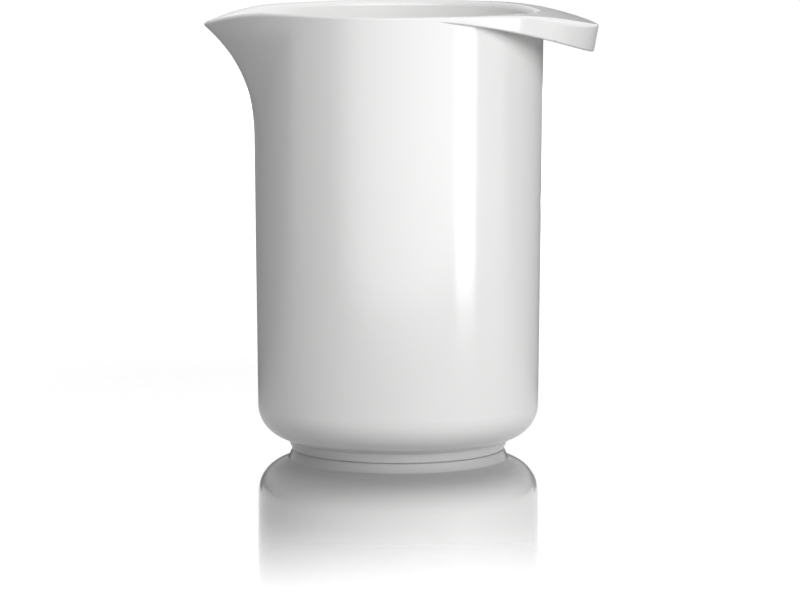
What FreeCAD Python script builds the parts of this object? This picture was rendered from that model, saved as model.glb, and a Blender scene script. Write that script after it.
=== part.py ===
"""Mixing jug: one moulded piece with a pouring spout and a drooping lip handle.

Frame: the origin is the middle of the foot on the resting plane, +Z is up,
+X points to the handle and -X to the spout.  All sizes are in millimetres.
"""
import FreeCAD
import Part
import math
import os

V = FreeCAD.Vector

# ---- driving dimensions -------------------------------------------------------
HEIGHT = 166.0            # foot to the flat part of the rim
RIM_RADIUS = 54.5         # outside of the wall at rim height
DRAFT_DEG = 0.61          # the wall narrows downwards by this angle
WALL = 3.2                # wall thickness

CORNER_RADIUS = 12.7      # outside corner between wall and base
CORNER_HEIGHT = 16.95     # where the straight wall begins
CORNER_SWEEP_DEG = 62.5   # the corner arc turns this far, then runs on straight
CREASE_INSET = 11.3       # the base meets the foot this far inside the wall
CREASE_HEIGHT = 3.6
FOOT_INSET = 12.95        # outer edge of the resting ring, inside the wall
FOOT_WIDTH = 3.0          # width of the resting ring
FOOT_ROUND = 0.6
RECESS_HEIGHT = 3.2       # underside inside the foot ring
FLOOR_HEIGHT = 6.8        # inside floor
FLOOR_CORNER = 11.0       # inside corner radius

SPOUT_LENGTH = 18.8       # spout tip beyond the rim radius
SPOUT_DROP = 5.7          # the tip lies this far below the rim
SPOUT_DROOP_INSET = 9.0   # the lip starts to droop this far inside the rim radius
FLARE_LENGTH = 45.4       # height over which the spout flares out, up to the tip
FLARE_POWER = 2.75
SPOUT_TIP_RADIUS = 3.6    # plan radius of the spout tip, outside
SPOUT_TIP_INNER = 1.4     # plan radius of the channel at the tip
FLARE_BLEND = 4.0         # reach over which the keel sharpens to the tip radius

HANDLE_LENGTH = 20.7      # end of the lip handle beyond the rim radius
HANDLE_DROP = 6.0         # the end of the handle lies this far below the rim
HANDLE_DROOP_INSET = 16.5  # the handle starts to droop this far inside the rim radius
HANDLE_POWER = 1.78       # exponent of the plan outline of the handle
HANDLE_INSET = 0.3        # the outline starts this far inside the wall face
SKIRT_START_DEPTH = 1.5   # lower edge below the rim, at the axis
SKIRT_END_DEPTH = 17.1    # lower edge below the rim, at the end
SKIRT_LEAN_DEG = 10.5     # the end of the skirt leans inwards by this angle
LIP_THICKNESS = 3.0       # plate over the fingers
SKIRT_THICKNESS = 2.8

RIM_ROUND_OUT = 0.8       # outer edge of the rim, the spout and the tip of the handle
FLANK_ROUND = 2.2         # widest rounding, on the flanks of the handle
RIM_ROUND_IN = 2.0        # inner edge of the rim
SKIRT_ROUND = 0.7         # lower edge of the skirt

# ---- derived ------------------------------------------------------------------
SLOPE = math.tan(math.radians(DRAFT_DEG))
LEAN = math.tan(math.radians(SKIRT_LEAN_DEG))
SWEEP = math.radians(CORNER_SWEEP_DEG)
SEAM_HEIGHT = CORNER_HEIGHT + 13.0       # the turned base ends here
SPOUT_REACH = RIM_RADIUS + SPOUT_LENGTH
SPOUT_DROOP_START = RIM_RADIUS - SPOUT_DROOP_INSET
SPOUT_TIP_HEIGHT = HEIGHT - SPOUT_DROP
FLARE_START = SPOUT_TIP_HEIGHT - FLARE_LENGTH
HANDLE_REACH = RIM_RADIUS + HANDLE_LENGTH
HANDLE_DROOP_START = RIM_RADIUS - HANDLE_DROOP_INSET


def wall_radius(z):
    """Outside radius of the drafted wall at height z."""
    return RIM_RADIUS - (HEIGHT - z) * SLOPE


# ---- turned base --------------------------------------------------------------
def revolve(edges):
    wire = Part.Wire(edges)
    face = Part.Face(wire)
    return face.revolve(V(0, 0, 0), V(0, 0, 1), 360)


def line(a, b):
    return Part.makeLine(V(a[0], 0, a[1]), V(b[0], 0, b[1]))


def arc(a, b, c):
    return Part.Arc(V(a[0], 0, a[1]), V(b[0], 0, b[1]), V(c[0], 0, c[1])).toShape()


def arc_point(centre, radius, angle):
    """Point on an arc that starts level with its centre and turns downwards."""
    return (centre[0] + radius * math.cos(angle), centre[1] - radius * math.sin(angle))


def base_solid():
    """Turned lower part: wall, corner, cone to the crease, foot ring and recess."""
    centre = (wall_radius(CORNER_HEIGHT) - CORNER_RADIUS, CORNER_HEIGHT)
    top = (wall_radius(SEAM_HEIGHT), SEAM_HEIGHT)
    start = arc_point(centre, CORNER_RADIUS, 0.0)
    middle = arc_point(centre, CORNER_RADIUS, SWEEP / 2)
    end = arc_point(centre, CORNER_RADIUS, SWEEP)
    crease = (start[0] - CREASE_INSET, CREASE_HEIGHT)
    ring_out = start[0] - FOOT_INSET
    ring_in = ring_out - FOOT_WIDTH
    edges = [
        line((0, SEAM_HEIGHT), top),
        line(top, start),
        arc(start, middle, end),
        line(end, crease),
        line(crease, (ring_out, 0)),
        line((ring_out, 0), (ring_in, 0)),
        line((ring_in, 0), (ring_in - 1.0, RECESS_HEIGHT)),
        line((ring_in - 1.0, RECESS_HEIGHT), (0, RECESS_HEIGHT)),
        line((0, RECESS_HEIGHT), (0, SEAM_HEIGHT)),
    ]
    solid = revolve(edges)
    ring = [e for e in solid.Edges if abs(e.BoundBox.ZMax) < 1e-6 and abs(e.BoundBox.ZMin) < 1e-6]
    return solid.makeFillet(FOOT_ROUND, ring)


def cavity_base():
    """Turned lower part of the inside."""
    top_r = wall_radius(SEAM_HEIGHT) - WALL
    centre_z = FLOOR_HEIGHT + FLOOR_CORNER
    side_r = wall_radius(centre_z) - WALL
    centre = (side_r - FLOOR_CORNER, centre_z)
    edges = [
        line((0, SEAM_HEIGHT), (top_r, SEAM_HEIGHT)),
        line((top_r, SEAM_HEIGHT), (side_r, centre_z)),
        arc((side_r, centre_z), arc_point(centre, FLOOR_CORNER, math.pi / 4),
            (centre[0], FLOOR_HEIGHT)),
        line((centre[0], FLOOR_HEIGHT), (0, FLOOR_HEIGHT)),
        line((0, FLOOR_HEIGHT), (0, SEAM_HEIGHT)),
    ]
    return revolve(edges)


# ---- wall with the flared spout -------------------------------------------------
def flare(z):
    """How far the spout keel stands out from the wall at height z."""
    if z <= FLARE_START:
        return 0.0
    full = SPOUT_REACH - wall_radius(SPOUT_TIP_HEIGHT)
    return full * ((z - FLARE_START) / FLARE_LENGTH) ** FLARE_POWER


def flare_slope(z):
    if z <= FLARE_START:
        return 0.0
    return FLARE_POWER * flare(z) / (z - FLARE_START)


def inner_flare(z):
    """Keel of the channel: the outside keel set back by the wall thickness."""
    outer_z = z
    for _ in range(40):
        tilt = math.atan(flare_slope(outer_z))
        outer_z = z - WALL * math.sin(tilt)
    tilt = math.atan(flare_slope(outer_z))
    reach = wall_radius(outer_z) + flare(outer_z) - WALL * math.cos(tilt)
    return max(0.0, reach - (wall_radius(z) - WALL))


def plan_radius(angle, radius, bulge, tip_radius):
    """Distance from the axis to a circle drawn out to a rounded point."""
    if bulge < 1e-6:
        return radius
    tip = tip_radius + (radius - tip_radius) * math.exp(-bulge / FLARE_BLEND)
    offset = radius + bulge - tip
    tangent = math.acos((radius - tip) / offset)
    nose = math.atan2(tip * math.sin(tangent), offset + tip * math.cos(tangent))
    if angle >= tangent:
        return radius
    if angle >= nose:
        return radius / math.cos(angle - tangent)
    return offset * math.cos(angle) + math.sqrt(tip ** 2 - (offset * math.sin(angle)) ** 2)


STATIONS = 36
ANGLES = [math.pi * (i / STATIONS) ** 1.8 for i in range(STATIONS + 1)]
PLAIN_LEVELS = 4          # outlines between the seam and the start of the flare
FLARE_LEVELS = 14         # outlines from the start of the flare to above the rim
TOP_LEVEL = HEIGHT + 2.0
LEVELS = [SEAM_HEIGHT + (FLARE_START - SEAM_HEIGHT) * i / PLAIN_LEVELS for i in range(PLAIN_LEVELS)]
LEVELS += [FLARE_START + (TOP_LEVEL - FLARE_START) * i / FLARE_LEVELS for i in range(FLARE_LEVELS + 1)]


def section(z, inset):
    """Closed outline of the wall at one height, as points once round."""
    radius = wall_radius(z) - inset
    if inset > 0:
        bulge, tip = inner_flare(z), SPOUT_TIP_INNER
    else:
        bulge, tip = flare(z), SPOUT_TIP_RADIUS
    turn = ANGLES + [2 * math.pi - a for a in ANGLES[-2:0:-1]]
    points = []
    for angle in turn:
        r = plan_radius(min(angle, 2 * math.pi - angle), radius, bulge, tip)
        points.append(V(-r * math.cos(angle), -r * math.sin(angle), z))
    return points


def wall_surface(inset):
    """Smooth surface through the wall outlines at all levels."""
    turn = ANGLES + [2 * math.pi - a for a in ANGLES[-2:0:-1]] + [2 * math.pi]
    rows = []
    for z in LEVELS:
        curve = Part.BSplineCurve()
        curve.interpolate(Points=section(z, inset), PeriodicFlag=True, Parameters=turn)
        rows.append(curve)
    columns = []
    for k in range(rows[0].NbPoles):
        curve = Part.BSplineCurve()
        curve.interpolate(Points=[row.getPole(k + 1) for row in rows], Parameters=LEVELS)
        columns.append(curve)
    surface = Part.BSplineSurface()
    surface.buildFromPolesMultsKnots(
        [column.getPoles() for column in columns],
        rows[0].getMultiplicities(), columns[0].getMultiplicities(),
        rows[0].getKnots(), columns[0].getKnots(), True, False, 3, 3)
    return surface


def wall_solid(inset):
    """Solid bounded by the wall surface and two level caps."""
    side = wall_surface(inset).toShape()
    caps = []
    for z in (LEVELS[0], LEVELS[-1]):
        rim = [e for e in side.Edges if e.BoundBox.ZLength < 1e-6 and abs(e.BoundBox.ZMin - z) < 1e-6]
        caps.append(Part.Face(Part.Wire(rim)))
    shell = Part.makeShell([side] + caps)
    shell.sewShape()
    solid = Part.makeSolid(shell)
    if solid.Volume < 0:
        solid.reverse()
    return solid


# ---- side profiles --------------------------------------------------------------
def parabola(x0, z0, x1, drop):
    """Parabola that leaves (x0, z0) level and has fallen by drop at x1."""
    curve = Part.BezierCurve()
    curve.setPoles([V(x0, 0, z0), V((x0 + x1) / 2, 0, z0), V(x1, 0, z0 - drop)])
    return curve.toShape()


def droop(start, reach, drop, x):
    """Drop of the top line at x, both measured away from the axis."""
    return drop * ((x - start) / (reach - start)) ** 2


def slab(edges):
    """Profile in the XZ plane extruded to both sides."""
    wide = 2 * SPOUT_REACH
    face = Part.Face(Part.Wire(edges))
    face.translate(V(0, -wide / 2, 0))
    return face.extrude(V(0, wide, 0))


FAR = HANDLE_REACH + 15.0


def above_top():
    """Everything above the drooping top line of spout, rim and handle."""
    spout_end = droop(SPOUT_DROOP_START, SPOUT_REACH, SPOUT_DROP, FAR)
    handle_end = droop(HANDLE_DROOP_START, HANDLE_REACH, HANDLE_DROP, FAR)
    high = HEIGHT + 20
    edges = [
        parabola(-SPOUT_DROOP_START, HEIGHT, -FAR, spout_end),
        line((-SPOUT_DROOP_START, HEIGHT), (HANDLE_DROOP_START, HEIGHT)),
        parabola(HANDLE_DROOP_START, HEIGHT, FAR, handle_end),
        line((FAR, HEIGHT - handle_end), (FAR, high)),
        line((FAR, high), (-FAR, high)),
        line((-FAR, high), (-FAR, HEIGHT - spout_end)),
    ]
    return slab(Part.__sortEdges__(edges))


def above_skirt_edge():
    """Everything above the lower edge of the skirt."""
    low = SKIRT_START_DEPTH + (SKIRT_END_DEPTH - SKIRT_START_DEPTH) * (FAR / HANDLE_REACH) ** 2
    start = HEIGHT - SKIRT_START_DEPTH
    high = HEIGHT + 10
    edges = [
        parabola(0, start, FAR, low - SKIRT_START_DEPTH),
        line((FAR, HEIGHT - low), (FAR, high)),
        line((FAR, high), (0, high)),
        line((0, high), (0, start)),
    ]
    return slab(Part.__sortEdges__(edges))


def below_lip():
    """Everything below the underside of the lip plate."""
    end = droop(HANDLE_DROOP_START, HANDLE_REACH, HANDLE_DROP, FAR)
    top = HEIGHT - LIP_THICKNESS
    low = HEIGHT - 40
    edges = [
        line((0, top), (HANDLE_DROOP_START, top)),
        parabola(HANDLE_DROOP_START, top, FAR, end),
        line((FAR, top - end), (FAR, low)),
        line((FAR, low), (0, low)),
        line((0, low), (0, top)),
    ]
    return slab(Part.__sortEdges__(edges))


# ---- lip handle -----------------------------------------------------------------
STEPS = 14                # outline points from the tip of the handle to X = 0
FLANK_STEP = 7            # the flank rounding is widest at this point


def handle_outline(z, inset):
    """Half outline of the handle in plan: a superellipse closed along X = 0."""
    end_height = HEIGHT - HANDLE_DROP
    reach = HANDLE_REACH + (z - end_height) * LEAN - inset
    half = wall_radius(z) - HANDLE_INSET - inset
    power = 2.0 / HANDLE_POWER
    points = []
    for i in range(-STEPS, STEPS + 1):
        t = math.copysign((abs(i) / STEPS) ** 1.25, i) * math.pi / 2
        x = reach * math.cos(t) ** power if abs(i) < STEPS else 0.0
        y = half * math.copysign(abs(math.sin(t)) ** power, t)
        points.append(V(x, y, z))
    curve = Part.BSplineCurve()
    curve.interpolate(points)
    splits = (0, STEPS - FLANK_STEP, STEPS, STEPS + FLANK_STEP, 2 * STEPS)
    cuts = [curve.parameter(points[k]) for k in splits]
    edges = [curve.toShape(a, b) for a, b in zip(cuts, cuts[1:])]
    return Part.Wire(edges + [Part.makeLine(points[-1], points[0])])


def handle_block(inset):
    low, high = HEIGHT - 40, HEIGHT + 6
    return Part.makeLoft([handle_outline(low, inset), handle_outline(high, inset)], True, True)


# ---- finding and rounding edges -------------------------------------------------
def top_line(x):
    """Height of the top line of spout, rim and handle at x."""
    if x < -SPOUT_DROOP_START:
        return HEIGHT - droop(SPOUT_DROOP_START, SPOUT_REACH, SPOUT_DROP, -x)
    if x > HANDLE_DROOP_START:
        return HEIGHT - droop(HANDLE_DROOP_START, HANDLE_REACH, HANDLE_DROP, x)
    return HEIGHT


def skirt_line(x):
    """Height of the lower edge of the skirt at x."""
    depth = (SKIRT_END_DEPTH - SKIRT_START_DEPTH) * (x / HANDLE_REACH) ** 2
    return HEIGHT - SKIRT_START_DEPTH - depth


def samples(edge):
    first, last = edge.ParameterRange
    return [edge.valueAt(first + (last - first) * t) for t in (0.0, 0.25, 0.5, 0.75, 1.0)]


def in_cavity(point):
    """True for a point on or inside the inner wall."""
    bulge = inner_flare(point.z)
    angle = abs(math.atan2(point.y, -point.x))
    limit = plan_radius(angle, wall_radius(point.z) - WALL, bulge, SPOUT_TIP_INNER)
    return math.hypot(point.x, point.y) < limit + 0.1


def edges_along(shape, height_at, wanted):
    """Edges that follow a height line in x and pass the wanted test."""
    found = []
    for edge in shape.Edges:
        points = samples(edge)
        level = all(abs(p.z - height_at(p.x)) < 2e-3 for p in points)
        crossing = max(p.x for p in points) - min(p.x for p in points) < 1e-4
        if level and not crossing and wanted(points):
            found.append(edge)
    return found


def outer_round(point):
    """Rounding wanted where an outer top edge ends at this point."""
    on_flank = HANDLE_DROOP_START + 5 < point.x < HANDLE_REACH - 5
    return FLANK_ROUND if on_flank else RIM_ROUND_OUT


def round_outer(shape, edges):
    """One rounding along all these edges, changing evenly along each edge."""
    document = FreeCAD.newDocument()
    base = document.addObject("Part::Feature", "body")
    base.Shape = shape
    rounding = document.addObject("Part::Fillet", "rounding")
    rounding.Base = base
    sizes = []
    for number, edge in enumerate(shape.Edges, 1):
        if any(edge.isSame(wanted) for wanted in edges):
            first, last = edge.ParameterRange
            ends = (outer_round(edge.valueAt(first)), outer_round(edge.valueAt(last)))
            sizes.append((number,) + ends)
    rounding.Edges = sizes
    document.recompute()
    return rounding.Shape


def round_edges(shape):
    inner = edges_along(shape, top_line, lambda pts: all(in_cavity(p) for p in pts))
    shape = shape.makeFillet(RIM_ROUND_IN, inner)
    outer = edges_along(shape, top_line, lambda pts: all(not in_rim(p) for p in pts))
    return round_outer(shape, outer)


def in_rim(point):
    """True for a point further in than the outer face of wall and spout."""
    angle = abs(math.atan2(point.y, -point.x))
    limit = plan_radius(angle, wall_radius(point.z), flare(point.z), SPOUT_TIP_RADIUS)
    return math.hypot(point.x, point.y) < limit - 0.1


# ---- the jug ----------------------------------------------------------------------
def jug_shape():
    outside = base_solid().fuse([wall_solid(0.0)], 1e-4).removeSplitter()
    handle = handle_block(0.0).common(above_skirt_edge())
    lower = edges_along(handle, skirt_line, lambda pts: True)
    handle = handle.makeFillet(SKIRT_ROUND, lower)
    pocket = handle_block(SKIRT_THICKNESS).common(below_lip()).cut(outside)
    cavity = cavity_base().fuse([wall_solid(WALL)], 1e-4).removeSplitter()
    body = outside.fuse([handle]).cut(pocket).cut(cavity).cut(above_top())
    return round_edges(body.removeSplitter())


def main():
    os.makedirs("parts", exist_ok=True)
    jug = jug_shape().Solids[0]
    jug.exportStep("parts/jug.step")


main()
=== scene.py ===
"""Mixing jug: finish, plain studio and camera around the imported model."""
import math

import bpy
from bpy.props import (
    FloatProperty,
    FloatVectorProperty,
    PointerProperty,
)
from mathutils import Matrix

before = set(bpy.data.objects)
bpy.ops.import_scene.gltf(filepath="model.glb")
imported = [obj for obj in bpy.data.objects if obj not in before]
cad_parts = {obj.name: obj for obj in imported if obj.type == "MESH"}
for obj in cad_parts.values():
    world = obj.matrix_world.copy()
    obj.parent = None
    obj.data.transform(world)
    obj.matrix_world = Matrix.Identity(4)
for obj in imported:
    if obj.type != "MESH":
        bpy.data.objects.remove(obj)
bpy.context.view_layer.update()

bl_info = {
    "name": "Mixing Jug",
    "version": (1, 0, 0),
    "blender": (4, 5, 0),
    "location": "View3D > Sidebar > Jug",
    "description": "Gives the moulded mixing jug its glossy finish and sets up a plain studio",
    "category": "Object",
}

JUG_NODE = "jug"
WHITE = (1.0, 1.0, 1.0, 1.0)

# Pattern of the plastic: scales are per metre, the rest are plain shares.
FLOW_SCALE = 9.0
FLOW_STRETCH = 0.35
FLOW_SHADE = 0.985
FLOW_ROUGHNESS = 0.015
SPECK_SCALE = 420.0
SPECK_ROUGHNESS = 0.006
SCRATCH_SCALE = 160.0
RUBBED_SHADE = 0.86
RUBBED_ROUGHNESS = 0.35
PLASTIC_IOR = 1.5

# Floor: distances from the jug's axis in metres.
FLOOR_RADIUS = 6.0
MIRROR_FULL = 0.14
MIRROR_GONE = 0.36
MIRROR_ROUGHNESS = 0.04
STEEP_MIRROR = 0.25
LIFT_START = 0.3
LIFT_END = 1.2

AIM = (0.0, 0.0, 0.09)
CAMERA_SIDE = 0.0007
SENSOR_WIDTH = 36.0
CAMERA_REACH = 50.0


# ---- settings -----------------------------------------------------------------

class JugFinishSettings(bpy.types.PropertyGroup):
    """Colour and gloss of the moulded plastic."""

    colour: FloatVectorProperty(
        name="Plastic Colour", description="Colour of the moulded plastic",
        subtype="COLOR", size=3, min=0.0, max=1.0, default=(0.905, 0.905, 0.9))
    roughness: FloatProperty(
        name="Roughness", description="Mean roughness of the polished surface",
        subtype="FACTOR", min=0.0, max=1.0, default=0.13)
    grain: FloatProperty(
        name="Grain Height", description="Height of the faint waviness left by the mould",
        subtype="DISTANCE", unit="LENGTH", min=0.0, max=0.001, default=0.000004)
    scuff_height: FloatProperty(
        name="Scuff Height",
        description="Height above the floor up to which the foot is rubbed dull",
        subtype="DISTANCE", unit="LENGTH", min=0.0001, max=0.02, default=0.0009)


class JugStudioSettings(bpy.types.PropertyGroup):
    """Sizes and levels of the plain studio."""

    ambient: FloatProperty(
        name="Room Light", description="Level of the even light from all around",
        min=0.0, max=2.0, default=0.37)
    key_power: FloatProperty(
        name="Key Power", description="Power of the large soft lamp in front",
        subtype="POWER", unit="POWER", min=0.0, default=18.0)
    top_power: FloatProperty(
        name="Top Power", description="Power of the soft lamp overhead",
        subtype="POWER", unit="POWER", min=0.0, default=1.0)
    back_power: FloatProperty(
        name="Back Power", description="Power of the large soft lamp behind",
        subtype="POWER", unit="POWER", min=0.0, default=8.2)
    side_power: FloatProperty(
        name="Side Power", description="Power of the soft lamp beside the handle",
        subtype="POWER", unit="POWER", min=0.0, default=1.0)
    front_level: FloatProperty(
        name="Front Card Level", description="Brightness of the wide card mirrored in the wall",
        min=0.0, max=20.0, default=2.8)
    strip_level: FloatProperty(
        name="Strip Card Level",
        description="Brightness of the narrow card that draws the upright highlight",
        min=0.0, max=40.0, default=9.0)
    mirror: FloatProperty(
        name="Floor Gloss", description="How much the floor mirrors the jug right at its foot",
        subtype="FACTOR", min=0.0, max=1.0, default=1.0)
    floor_grey: FloatProperty(
        name="Floor Grey", description="How pale the floor is for the light it throws back",
        subtype="FACTOR", min=0.0, max=1.0, default=0.35)
    floor_white: FloatProperty(
        name="Floor White", description="How pale the floor is where it is seen, shadow included",
        subtype="FACTOR", min=0.0, max=1.0, default=0.95)
    near_lift: FloatProperty(
        name="Near Lift",
        description="Level added to the seen floor round the jug, low enough to keep its shadow",
        min=0.0, max=1.0, default=0.40)
    far_lift: FloatProperty(
        name="Far Lift",
        description="Level added to the seen floor where the lamps no longer reach",
        min=0.0, max=1.0, default=0.66)
    flag_grey: FloatProperty(
        name="Flag Grey", description="How pale the grey card behind the jug is",
        subtype="FACTOR", min=0.0, max=1.0, default=0.25)
    mat_grey: FloatProperty(
        name="Mat Grey", description="How pale the mat lying on the floor behind the jug is",
        subtype="FACTOR", min=0.0, max=1.0, default=0.3)
    camera_distance: FloatProperty(
        name="Camera Distance", description="Level distance from the jug's axis to the camera",
        subtype="DISTANCE", unit="LENGTH", min=0.2, default=1.74)
    camera_height: FloatProperty(
        name="Camera Height", description="Height of the camera above the floor",
        subtype="DISTANCE", unit="LENGTH", min=0.0, default=0.2755)
    camera_tilt: FloatProperty(
        name="Camera Tilt", description="Angle by which the camera looks down",
        subtype="ANGLE", unit="ROTATION", default=math.radians(7.19))
    lens: FloatProperty(
        name="Lens", description="Focal length of the camera",
        subtype="DISTANCE_CAMERA", unit="CAMERA", min=1.0, default=209.25)


# ---- node helpers -----------------------------------------------------------------

def grey(level):
    """A plain grey colour."""
    return (level, level, level, 1.0)


def new_material(name):
    """An empty node material with an output."""
    material = bpy.data.materials.new(name)
    material.use_nodes = True
    tree = material.node_tree
    tree.nodes.clear()
    output = tree.nodes.new("ShaderNodeOutputMaterial")
    output.location = (600, 0)
    return material, tree, output


def add_node(tree, kind, place, **values):
    """A node of one kind with its plain settings."""
    node = tree.nodes.new(kind)
    node.location = place
    for key, value in values.items():
        if key in node.inputs:
            node.inputs[key].default_value = value
        else:
            setattr(node, key.lower().replace(" ", "_"), value)
    return node


def ramp_range(tree, place, source, low, high, out_low, out_high, shape="LINEAR"):
    """Map one value range onto another."""
    node = tree.nodes.new("ShaderNodeMapRange")
    node.interpolation_type = shape
    node.location = place
    node.clamp = True
    limits = (("From Min", low), ("From Max", high), ("To Min", out_low), ("To Max", out_high))
    for name, value in limits:
        node.inputs[name].default_value = value
    tree.links.new(source, node.inputs["Value"])
    return node.outputs["Result"]


def seen_rays(tree, place):
    """1 for camera, glossy and transmission rays, which show the background."""
    x, y = place
    rays = add_node(tree, "ShaderNodeLightPath", (x, y))
    first = add_node(tree, "ShaderNodeMath", (x + 200, y), operation="MAXIMUM")
    both = add_node(tree, "ShaderNodeMath", (x + 400, y), operation="MAXIMUM")
    tree.links.new(rays.outputs["Is Camera Ray"], first.inputs[0])
    tree.links.new(rays.outputs["Is Glossy Ray"], first.inputs[1])
    tree.links.new(first.outputs[0], both.inputs[0])
    tree.links.new(rays.outputs["Is Transmission Ray"], both.inputs[1])
    return both.outputs[0]


# ---- materials ----------------------------------------------------------------------

def moulded_plastic(finish):
    """Glossy white moulded plastic: faint flow marks, waviness and a rubbed foot."""
    material, tree, output = new_material("moulded_plastic")
    link = tree.links.new
    coords = add_node(tree, "ShaderNodeTexCoord", (-1300, 0))
    place = coords.outputs["Object"]

    flow = add_node(tree, "ShaderNodeTexNoise", (-900, 300),
                    Scale=FLOW_SCALE, Detail=3.0, Roughness=0.5)
    stretch = add_node(tree, "ShaderNodeMapping", (-1100, 300))
    stretch.inputs["Scale"].default_value = (1.0, 1.0, FLOW_STRETCH)
    link(place, stretch.inputs["Vector"])
    link(stretch.outputs["Vector"], flow.inputs["Vector"])

    speck = add_node(tree, "ShaderNodeTexNoise", (-900, 0),
                     Scale=SPECK_SCALE, Detail=2.0, Roughness=0.5)
    link(place, speck.inputs["Vector"])

    height = add_node(tree, "ShaderNodeSeparateXYZ", (-1100, -300))
    link(place, height.inputs["Vector"])
    worn = ramp_range(tree, (-900, -300), height.outputs["Z"],
                      0.0, finish.scuff_height, 1.0, 0.0)
    scratch = add_node(tree, "ShaderNodeTexNoise", (-900, -520),
                       Scale=SCRATCH_SCALE, Detail=4.0, Roughness=0.6)
    link(place, scratch.inputs["Vector"])
    uneven = ramp_range(tree, (-750, -520), scratch.outputs["Fac"], 0.35, 0.65, 0.3, 1.0)
    worn_mask = add_node(tree, "ShaderNodeMath", (-650, -380), operation="MULTIPLY")
    link(worn, worn_mask.inputs[0])
    link(uneven, worn_mask.inputs[1])

    tint = add_node(tree, "ShaderNodeMix", (-350, 300), data_type="RGBA")
    tint.inputs["A"].default_value = (*finish.colour, 1.0)
    tint.inputs["B"].default_value = (*[c * FLOW_SHADE for c in finish.colour], 1.0)
    link(flow.outputs["Fac"], tint.inputs["Factor"])
    rubbed = add_node(tree, "ShaderNodeMix", (-100, 300), data_type="RGBA")
    rubbed.inputs["B"].default_value = (*[c * RUBBED_SHADE for c in finish.colour], 1.0)
    link(worn_mask.outputs[0], rubbed.inputs["Factor"])
    link(tint.outputs["Result"], rubbed.inputs["A"])

    gloss = ramp_range(tree, (-600, 60), flow.outputs["Fac"], 0.3, 0.7,
                       finish.roughness - FLOW_ROUGHNESS, finish.roughness + FLOW_ROUGHNESS)
    fine = ramp_range(tree, (-600, -100), speck.outputs["Fac"], 0.3, 0.7,
                      -SPECK_ROUGHNESS, SPECK_ROUGHNESS)
    mixed = add_node(tree, "ShaderNodeMath", (-350, 0), operation="ADD")
    link(gloss, mixed.inputs[0])
    link(fine, mixed.inputs[1])
    dull = add_node(tree, "ShaderNodeMath", (-100, -40), operation="MULTIPLY_ADD")
    link(worn_mask.outputs[0], dull.inputs[0])
    dull.inputs[1].default_value = RUBBED_ROUGHNESS
    link(mixed.outputs[0], dull.inputs[2])

    bump = add_node(tree, "ShaderNodeBump", (50, -300), Strength=1.0)
    bump.inputs["Distance"].default_value = finish.grain
    link(flow.outputs["Fac"], bump.inputs["Height"])

    plastic = add_node(tree, "ShaderNodeBsdfPrincipled", (300, 0))
    plastic.inputs["IOR"].default_value = PLASTIC_IOR
    plastic.inputs["Coat Weight"].default_value = 0.0
    link(rubbed.outputs["Result"], plastic.inputs["Base Color"])
    link(dull.outputs[0], plastic.inputs["Roughness"])
    link(bump.outputs["Normal"], plastic.inputs["Normal"])
    link(plastic.outputs["BSDF"], output.inputs["Surface"])
    return material


def pale_floor(studio):
    """White floor that keeps the jug's shadow and mirrors the jug round its foot.

    Camera, glossy and transmission rays see a lit white surface, lifted so that it
    comes out white where nothing shades it. The light it throws back is a plain grey's.
    """
    material, tree, output = new_material("pale_floor")
    link = tree.links.new
    coords = add_node(tree, "ShaderNodeTexCoord", (-1100, 0))
    reach = add_node(tree, "ShaderNodeVectorMath", (-900, 0), operation="LENGTH")
    link(coords.outputs["Object"], reach.inputs[0])

    fade = ramp_range(tree, (-700, 0), reach.outputs["Value"],
                      MIRROR_FULL, MIRROR_GONE, studio.mirror, 0.0, "SMOOTHSTEP")
    facing = add_node(tree, "ShaderNodeLayerWeight", (-900, -200), Blend=0.5)
    low_view = ramp_range(tree, (-700, -200), facing.outputs["Facing"],
                          0.3, 0.84, STEEP_MIRROR, 1.0)
    rays = add_node(tree, "ShaderNodeLightPath", (-700, -400))
    grazing = add_node(tree, "ShaderNodeMath", (-500, -50), operation="MULTIPLY")
    link(fade, grazing.inputs[0])
    link(low_view, grazing.inputs[1])
    mirrored = add_node(tree, "ShaderNodeMath", (-300, -200), operation="MULTIPLY")
    link(grazing.outputs[0], mirrored.inputs[0])
    link(rays.outputs["Is Camera Ray"], mirrored.inputs[1])

    bounced = add_node(tree, "ShaderNodeBsdfDiffuse", (-200, 250), Color=grey(studio.floor_grey))
    shaded = add_node(tree, "ShaderNodeBsdfDiffuse", (-200, 100), Color=grey(studio.floor_white))
    lift = ramp_range(tree, (-450, -50), reach.outputs["Value"],
                      LIFT_START, LIFT_END, studio.near_lift, studio.far_lift, "SMOOTHSTEP")
    glow = add_node(tree, "ShaderNodeEmission", (-200, -50), Color=WHITE)
    link(lift, glow.inputs["Strength"])
    seen = add_node(tree, "ShaderNodeAddShader", (0, 50))
    link(shaded.outputs["BSDF"], seen.inputs[0])
    link(glow.outputs["Emission"], seen.inputs[1])
    pale = add_node(tree, "ShaderNodeMixShader", (150, 150))
    link(seen_rays(tree, (-700, 400)), pale.inputs["Fac"])
    link(bounced.outputs["BSDF"], pale.inputs[1])
    link(seen.outputs[0], pale.inputs[2])

    polish = add_node(tree, "ShaderNodeBsdfGlossy", (0, -100),
                      Color=WHITE, Roughness=MIRROR_ROUGHNESS)
    surface = add_node(tree, "ShaderNodeMixShader", (300, 0))
    link(mirrored.outputs[0], surface.inputs["Fac"])
    link(pale.outputs[0], surface.inputs[1])
    link(polish.outputs["BSDF"], surface.inputs[2])
    link(surface.outputs[0], output.inputs["Surface"])
    return material


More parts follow.
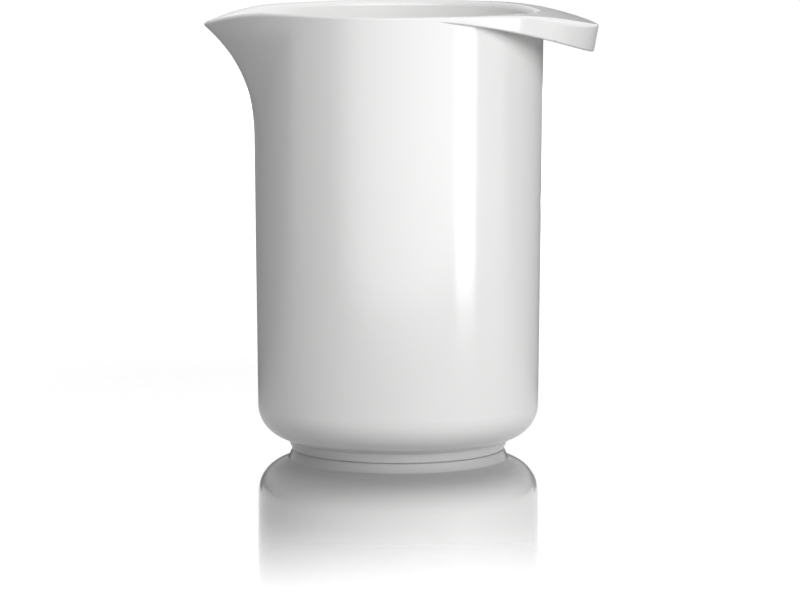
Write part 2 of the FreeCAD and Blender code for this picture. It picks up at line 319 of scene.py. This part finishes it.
def soft_mat(name, soft, level):
    """Matt grey, seen from above only, clear along the first share of its depth."""
    material, tree, output = new_material(name)
    link = tree.links.new
    coords = add_node(tree, "ShaderNodeTexCoord", (-700, 0))
    apart = add_node(tree, "ShaderNodeSeparateXYZ", (-500, 0))
    link(coords.outputs["Object"], apart.inputs["Vector"])
    edge = ramp_range(tree, (-300, 0), apart.outputs["Y"], -0.5, -0.5 + soft, 1.0, 0.0)
    geometry = add_node(tree, "ShaderNodeNewGeometry", (-300, -300))
    clear = add_node(tree, "ShaderNodeMath", (-100, -100), operation="MAXIMUM")
    link(edge, clear.inputs[0])
    link(geometry.outputs["Backfacing"], clear.inputs[1])
    matt = add_node(tree, "ShaderNodeBsdfDiffuse", (0, 100), Color=grey(level))
    through = add_node(tree, "ShaderNodeBsdfTransparent", (0, -250), Color=WHITE)
    both = add_node(tree, "ShaderNodeMixShader", (300, 0))
    link(clear.outputs[0], both.inputs["Fac"])
    link(matt.outputs["BSDF"], both.inputs[1])
    link(through.outputs["BSDF"], both.inputs[2])
    link(both.outputs["Shader"], output.inputs["Surface"])
    return material


def card_glow(name, level, fades):
    """Clear card that shines in a first reflection only, fading towards its edges."""
    material, tree, output = new_material(name)
    link = tree.links.new
    coords = add_node(tree, "ShaderNodeTexCoord", (-700, 0))
    across = add_node(tree, "ShaderNodeSeparateXYZ", (-500, 0))
    link(coords.outputs["Object"], across.inputs["Vector"])
    left, right, low, high = fades
    edges = (
        ("X", -0.5, -0.5 + left, 0.0, level),
        ("X", 0.5 - right, 0.5, 1.0, 0.0),
        ("Y", -0.5, -0.5 + low, 0.0, 1.0),
        ("Y", 0.5 - high, 0.5, 1.0, 0.0),
    )
    parts = [
        ramp_range(tree, (-300, 200 - 200 * i), across.outputs[axis], *limits, "SMOOTHSTEP")
        for i, (axis, *limits) in enumerate(edges)
    ]
    rays = add_node(tree, "ShaderNodeLightPath", (-500, -600))
    once = add_node(tree, "ShaderNodeMath", (-300, -600), operation="LESS_THAN")
    once.inputs[1].default_value = 1.5
    link(rays.outputs["Glossy Depth"], once.inputs[0])
    parts.append(once.outputs[0])
    strength = parts[0]
    for part in parts[1:]:
        product = add_node(tree, "ShaderNodeMath", (-100, -200), operation="MULTIPLY")
        link(strength, product.inputs[0])
        link(part, product.inputs[1])
        strength = product.outputs[0]
    glow = add_node(tree, "ShaderNodeEmission", (0, 0), Color=WHITE)
    link(strength, glow.inputs["Strength"])
    clear = add_node(tree, "ShaderNodeBsdfTransparent", (0, -150), Color=WHITE)
    both = add_node(tree, "ShaderNodeAddShader", (300, 0))
    link(glow.outputs["Emission"], both.inputs[0])
    link(clear.outputs["BSDF"], both.inputs[1])
    link(both.outputs["Shader"], output.inputs["Surface"])
    return material


# ---- stage pieces -----------------------------------------------------------------------

def add_card(name, size, place, rotation, material):
    """A flat stage card that only shows in reflections."""
    bpy.ops.mesh.primitive_grid_add(x_subdivisions=2, y_subdivisions=2, size=1.0, location=place)
    card = bpy.context.active_object
    card.name = name
    card.scale = (*size, 1.0)
    card.rotation_euler = rotation
    card.data.materials.append(material)
    card.visible_camera = False
    card.visible_diffuse = False
    card.visible_shadow = False
    return card


def add_flag(name, width, height, distance, level):
    """A matt grey card standing behind the jug, which darkens what the handle's top mirrors."""
    material, tree, output = new_material(name)
    matt = add_node(tree, "ShaderNodeBsdfDiffuse", (0, 0), Color=grey(level))
    tree.links.new(matt.outputs["BSDF"], output.inputs["Surface"])
    add_card(name, (width, height), (0.0, distance, height / 2),
             (math.pi / 2, 0.0, 0.0), material)


def add_mat(name, width, near, far, soft, level):
    """A matt grey mat on the floor behind the jug, which darkens what the wall's edges mirror.

    It lies from one depth to another, and its front edge is soft.
    """
    depth = far - near
    mat = add_card(name, (width, depth), (0.0, near + depth / 2, 0.0005), (0.0, 0.0, 0.0),
                   soft_mat(name, soft / depth, level))
    mat.visible_transmission = False


def add_light_card(name, width, height, azimuth, distance, level, fades):
    """An upright bright card near the jug, which draws a highlight.

    Its left and right edges fade out over the first two shares, of its width, and
    its lower and upper edges over the other two, of its height.
    """
    a = math.radians(azimuth)
    place = (distance * math.sin(a), -distance * math.cos(a), height / 2)
    card = add_card(name, (width, height), place, (math.pi / 2, 0.0, a),
                    card_glow(name, level, fades))
    card.visible_transmission = False


def add_softbox(name, width, height, azimuth, elevation, distance, power):
    """A rectangular lamp that doesn't show in reflections.

    It stands at an azimuth right of the front, as seen from the jug, and faces the jug.
    """
    a = math.radians(azimuth)
    e = math.radians(elevation)
    place = (AIM[0] + distance * math.sin(a) * math.cos(e),
             AIM[1] - distance * math.cos(a) * math.cos(e),
             AIM[2] + distance * math.sin(e))
    bpy.ops.object.light_add(type="AREA", location=place, rotation=(math.pi / 2 - e, 0.0, a))
    lamp = bpy.context.active_object
    lamp.name = name
    lamp.data.shape = "RECTANGLE"
    lamp.data.size = width
    lamp.data.size_y = height
    lamp.data.energy = power
    lamp.visible_glossy = False


def add_room(scene, ambient):
    """Even light from all around, which comes out white where it is seen."""
    world = bpy.data.worlds.new("studio_room")
    world.use_nodes = True
    tree = world.node_tree
    tree.nodes.clear()
    output = add_node(tree, "ShaderNodeOutputWorld", (600, 0))
    room = add_node(tree, "ShaderNodeBackground", (300, 0), Strength=1.0)
    level = add_node(tree, "ShaderNodeMix", (100, 0), data_type="RGBA")
    level.inputs["A"].default_value = grey(ambient)
    level.inputs["B"].default_value = WHITE
    tree.links.new(seen_rays(tree, (-500, 0)), level.inputs["Factor"])
    tree.links.new(level.outputs["Result"], room.inputs["Color"])
    tree.links.new(room.outputs["Background"], output.inputs["Surface"])
    scene.world = world


# ---- operators ------------------------------------------------------------------------

class JUG_OT_finish(bpy.types.Operator):
    """Give the moulded jug its glossy white finish"""

    bl_idname = "jug.finish"
    bl_label = "Finish Jug"

    def execute(self, context):
        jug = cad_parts.get(JUG_NODE)
        if jug is None:
            raise RuntimeError(f"the packed model has no node {JUG_NODE}")
        material = moulded_plastic(context.scene.jug_finish)
        jug.data.materials.clear()
        jug.data.materials.append(material)
        return {"FINISHED"}


class JUG_OT_stage(bpy.types.Operator):
    """Set up the plain floor, the soft lamps and the camera"""

    bl_idname = "jug.stage"
    bl_label = "Set Up Studio"

    def execute(self, context):
        scene = context.scene
        studio = scene.jug_studio
        bpy.ops.object.select_all(action="DESELECT")

        bpy.ops.mesh.primitive_circle_add(
            vertices=96, radius=FLOOR_RADIUS, fill_type="NGON", location=(0.0, 0.0, 0.0))
        floor = context.active_object
        floor.name = "floor"
        floor.data.materials.append(pale_floor(studio))

        add_softbox("key_softbox", width=1.3, height=1.1, azimuth=24.0, elevation=30.0,
                    distance=1.7, power=studio.key_power)
        add_softbox("top_softbox", width=0.9, height=0.9, azimuth=180.0, elevation=75.0,
                    distance=1.3, power=studio.top_power)
        add_softbox("back_softbox", width=1.3, height=0.7, azimuth=180.0, elevation=12.0,
                    distance=1.7, power=studio.back_power)
        add_softbox("side_softbox", width=0.5, height=0.5, azimuth=78.0, elevation=12.0,
                    distance=1.0, power=studio.side_power)
        add_light_card("front_card", width=0.70, height=0.5, azimuth=-4.0, distance=0.30,
                       level=studio.front_level, fades=(0.4, 0.01, 0.08, 0.1))
        add_light_card("strip_card", width=0.115, height=0.155, azimuth=51.5, distance=0.345,
                       level=studio.strip_level, fades=(0.2, 0.2, 0.3, 0.2))
        add_flag("far_flag", width=4.0, height=0.42, distance=3.6, level=studio.flag_grey)
        add_mat("back_mat", width=5.0, near=-0.05, far=5.0, soft=0.2, level=studio.mat_grey)
        add_room(scene, studio.ambient)

        bpy.ops.object.camera_add(
            location=(CAMERA_SIDE, -studio.camera_distance, studio.camera_height),
            rotation=(math.pi / 2 - studio.camera_tilt, 0.0, 0.0))
        camera = context.active_object
        camera.name = "camera"
        camera.data.lens = studio.lens
        camera.data.sensor_width = SENSOR_WIDTH
        camera.data.clip_end = CAMERA_REACH
        scene.camera = camera
        scene.view_settings.view_transform = "Standard"
        return {"FINISHED"}


class JUG_PT_panel(bpy.types.Panel):
    """Lists the steps and their settings"""

    bl_idname = "JUG_PT_panel"
    bl_label = "Mixing Jug"
    bl_space_type = "VIEW_3D"
    bl_region_type = "UI"
    bl_category = "Jug"

    def draw(self, context):
        layout = self.layout
        scene = context.scene
        steps = ((scene.jug_finish, "jug.finish"), (scene.jug_studio, "jug.stage"))
        for group, operator in steps:
            box = layout.box()
            for name in group.bl_rna.properties.keys():
                if name not in {"rna_type", "name"}:
                    box.prop(group, name)
            box.operator(operator)


CLASSES = (JugFinishSettings, JugStudioSettings, JUG_OT_finish, JUG_OT_stage, JUG_PT_panel)


def register():
    for item in CLASSES:
        bpy.utils.register_class(item)
    bpy.types.Scene.jug_finish = PointerProperty(type=JugFinishSettings)
    bpy.types.Scene.jug_studio = PointerProperty(type=JugStudioSettings)


def unregister():
    del bpy.types.Scene.jug_studio
    del bpy.types.Scene.jug_finish
    for item in reversed(CLASSES):
        bpy.utils.unregister_class(item)


def main():
    register()
    bpy.ops.jug.finish()
    bpy.ops.jug.stage()


if __name__ == "__main__":
    main()
